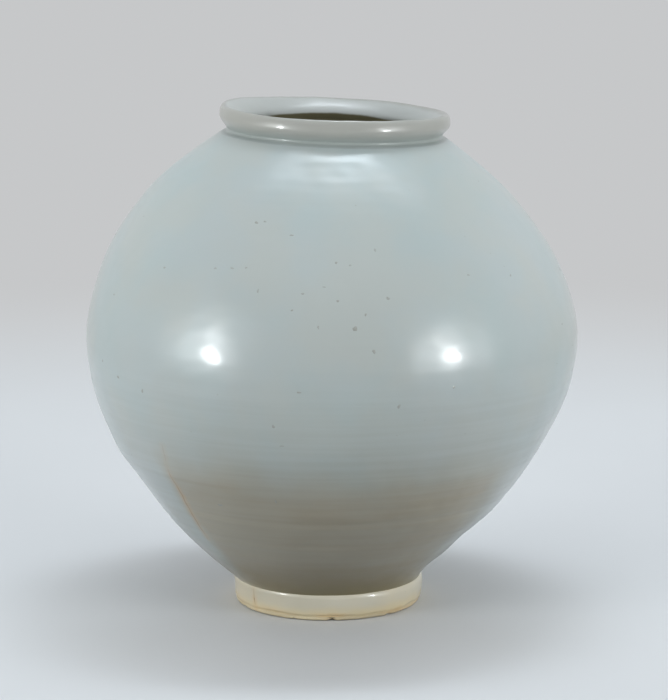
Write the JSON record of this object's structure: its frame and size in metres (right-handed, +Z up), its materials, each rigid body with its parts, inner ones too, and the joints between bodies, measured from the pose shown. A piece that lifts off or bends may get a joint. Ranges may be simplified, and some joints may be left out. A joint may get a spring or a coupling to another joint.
{
  "type": "moon jar",
  "caption": "Round two-bowl storage jar with a low tilted mouth, a joined belly and a foot ring, in milky white glaze.",
  "frame": {"origin": "centre of the foot ring's resting edge, on the plane that the jar stands on", "axes": "+Z up out of the mouth, +X to the right of the side shown in the picture, which is the way the mouth dips, -Y towards the viewer"},
  "size_m": [0.4036, 0.4036, 0.4121],
  "materials": {
    "clay": "bare fired porcelain clay, fine and dry",
    "slip": "fired slip, the same clay made wet",
    "glaze_outside": "satin to gloss, milky with a faint blue-green cast",
    "glaze_inside": "duller gloss, a smoky olive",
    "glaze_well": "thin gloss with kiln grit"
  },
  "bodies": {
    "root": {"lower_bowl": "clay", "upper_bowl": "clay", "belly_slip": "slip", "mouth_collar": "clay", "neck_slip": "slip", "foot_ring": "clay", "foot_slip": "slip", "outer_glaze": "glaze_outside", "inner_glaze": "glaze_inside", "foot_well_glaze": "glaze_well"}
  },
  "joints": []
}
